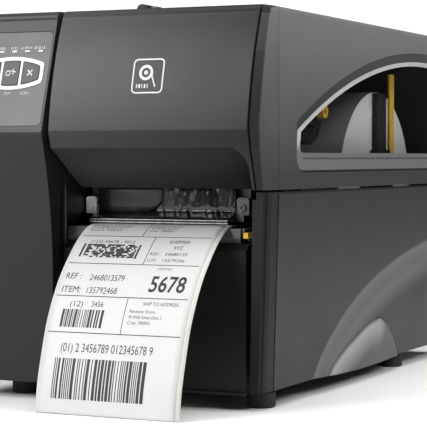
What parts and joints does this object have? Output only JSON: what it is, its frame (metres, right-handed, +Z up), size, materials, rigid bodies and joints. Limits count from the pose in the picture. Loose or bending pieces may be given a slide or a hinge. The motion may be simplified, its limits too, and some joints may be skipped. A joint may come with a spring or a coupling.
{
  "type": "thermal label printer",
  "caption": "Desktop-industrial thermal transfer label printer with bi-fold media door, arched side window, key panel and a label hanging from the exit.",
  "frame": {"origin": "middle of the object's footprint, on the surface it stands on", "axes": "+X to the printer's right, +Y to its rear, +Z up"},
  "size_m": [0.242, 0.4778, 0.284],
  "materials": {
    "charcoal_plastic": "fine texture",
    "panel_plastic": "fine texture",
    "dark_plastic": "satin",
    "overlay_film": "satin film",
    "white_plastic": "semi gloss",
    "key_rubber": "satin",
    "lamp_lens": "clear",
    "circuit_board": "solder mask",
    "painted_steel": "powder coat",
    "bare_steel": "brushed",
    "zinc_steel": "plated",
    "cast_alloy": "cast",
    "alloy": "extruded",
    "platen_rubber": "ground",
    "belt_rubber": "toothed",
    "foot_rubber": "moulded",
    "motor_black": "satin",
    "ceramic_board": "glazed",
    "gold_plastic": "semi gloss",
    "ribbon_black": "glossy film",
    "label_paper": "coated",
    "core_card": "wound board",
    "trim_plastic": "satin",
    "window_clear": "clear",
    "port_metal": "plated"
  },
  "bodies": {
    "chassis": {"control_bezel": "charcoal_plastic", "control_overlay": "overlay_film", "key_ring": "white_plastic", "status_lights": "lamp_lens", "control_board": "circuit_board", "electronics_cover": "painted_steel", "center_wall": "dark_plastic", "base_pan": "painted_steel", "feet": "foot_rubber", "rear_panel": "painted_steel", "power_inlet": "dark_plastic", "usb_port": "port_metal", "serial_port": "port_metal", "main_board": "circuit_board", "power_supply": "zinc_steel", "stepper_motor": "motor_black", "drive_belt": "belt_rubber", "mech_plate": "zinc_steel", "platen_support": "cast_alloy", "platen_bearings": "dark_plastic", "tear_bar": "bare_steel", "media_sensor": "dark_plastic", "ribbon_runs": "ribbon_black", "label_web": "label_paper", "media_hanger": "dark_plastic", "front_cover": "charcoal_plastic", "roof_hinge": "dark_plastic"},
    "pause_key": {"pause_key": "key_rubber"},
    "feed_key": {"feed_key": "key_rubber"},
    "cancel_key": {"cancel_key": "key_rubber"},
    "power_rocker": {"power_rocker": "dark_plastic"},
    "motor_rotor": {"motor_pulley": "alloy"},
    "platen": {"platen_roller": "platen_rubber", "platen_shaft": "bare_steel"},
    "media_guide": {"media_guide": "gold_plastic"},
    "printhead": {"printhead_bracket": "zinc_steel", "printhead_heatsink": "alloy", "printhead_board": "ceramic_board", "head_side_brackets": "bare_steel", "ribbon_film": "ribbon_black"},
    "toggle_left": {"pressure_toggle_left": "dark_plastic"},
    "toggle_right": {"pressure_toggle_right": "dark_plastic"},
    "head_lever": {"head_lever": "gold_plastic"},
    "ribbon_supply": {"ribbon_supply_spindle": "dark_plastic", "spindle_cap": "gold_plastic", "ribbon_supply_roll": "ribbon_black"},
    "ribbon_takeup": {"ribbon_takeup_spindle": "dark_plastic", "ribbon_takeup_roll": "ribbon_black"},
    "roll": {"media_roll": "label_paper", "roll_core": "core_card"},
    "supply_guide": {"supply_guide": "dark_plastic", "guide_post": "gold_plastic"},
    "upper_door": {"door_front_panel": "panel_plastic", "door_corner_upper": "panel_plastic", "door_side_upper": "charcoal_plastic", "window_trim": "trim_plastic", "window_pane": "window_clear", "fold_hinge": "dark_plastic"},
    "lower_door": {"door_side_lower": "charcoal_plastic", "door_corner_lower": "charcoal_plastic"}
  },
  "joints": [
    {"name": "pause_press", "type": "slide", "parent": "chassis", "child": "pause_key", "axis": [0, 0.9573, -0.289], "range_m": [0, 0.0008], "stiffness_N_per_m": 900, "springref_m": -0.0006},
    {"name": "feed_press", "type": "slide", "parent": "chassis", "child": "feed_key", "axis": [0, 0.9573, -0.289], "range_m": [0, 0.0008], "stiffness_N_per_m": 900, "springref_m": -0.0006},
    {"name": "cancel_press", "type": "slide", "parent": "chassis", "child": "cancel_key", "axis": [0, 0.9573, -0.289], "range_m": [0, 0.0008], "stiffness_N_per_m": 900, "springref_m": -0.0006},
    {"name": "power_rock", "type": "hinge", "parent": "chassis", "child": "power_rocker", "pos_m": [0, 0.231, 0.045], "axis": [-1, 0, 0], "range_deg": [0, 12]},
    {"name": "platen_spin", "type": "hinge", "parent": "chassis", "child": "platen", "pos_m": [0, -0.145, 0.117], "axis": [1, 0, 0], "continuous": true},
    {"name": "motor_spin", "type": "hinge", "parent": "chassis", "child": "motor_rotor", "pos_m": [0, -0.081, 0.074], "axis": [1, 0, 0], "continuous": true},
    {"name": "media_guide_slide", "type": "slide", "parent": "chassis", "child": "media_guide", "axis": [1, 0, 0], "range_m": [0, 0.003]},
    {"name": "head_open", "type": "hinge", "parent": "chassis", "child": "printhead", "pos_m": [0, -0.051, 0.144], "axis": [-1, 0, 0], "range_deg": [0, 10]},
    {"name": "lever_turn", "type": "hinge", "parent": "chassis", "child": "head_lever", "pos_m": [0, -0.029, 0.154], "axis": [-1, 0, 0], "range_deg": [0, 75]},
    {"name": "toggle_left_slide", "type": "slide", "parent": "chassis", "child": "toggle_left", "axis": [1, 0, 0], "range_m": [-0.02, 0.02]},
    {"name": "toggle_right_slide", "type": "slide", "parent": "chassis", "child": "toggle_right", "axis": [1, 0, 0], "range_m": [-0.02, 0.018]},
    {"name": "supply_spindle_spin", "type": "hinge", "parent": "chassis", "child": "ribbon_supply", "pos_m": [0, 0.003, 0.21], "axis": [1, 0, 0], "continuous": true},
    {"name": "takeup_spindle_spin", "type": "hinge", "parent": "chassis", "child": "ribbon_takeup", "pos_m": [0, -0.089, 0.21], "axis": [1, 0, 0], "continuous": true},
    {"name": "media_roll_spin", "type": "hinge", "parent": "chassis", "child": "roll", "pos_m": [0, 0.14, 0.14], "axis": [1, 0, 0], "continuous": true},
    {"name": "supply_guide_slide", "type": "slide", "parent": "chassis", "child": "supply_guide", "axis": [1, 0, 0], "range_m": [0, 0.012]},
    {"name": "door_open", "type": "hinge", "parent": "chassis", "child": "upper_door", "pos_m": [0.012, -0.193, 0.28], "axis": [0, -1, 0], "range_deg": [0, 100]},
    {"name": "door_fold", "type": "hinge", "parent": "upper_door", "child": "lower_door", "pos_m": [0.1154, -0.193, 0.147], "axis": [0, 1, 0], "range_deg": [0, 90]}
  ],
  "couplings": [
    {"joint": "motor_spin", "follows": "platen_spin", "ratio": 2.2308},
    {"joint": "door_fold", "follows": "door_open", "ratio": 0.9},
    {"joint": "lever_turn", "follows": "head_open", "ratio": 7.5}
  ]
}
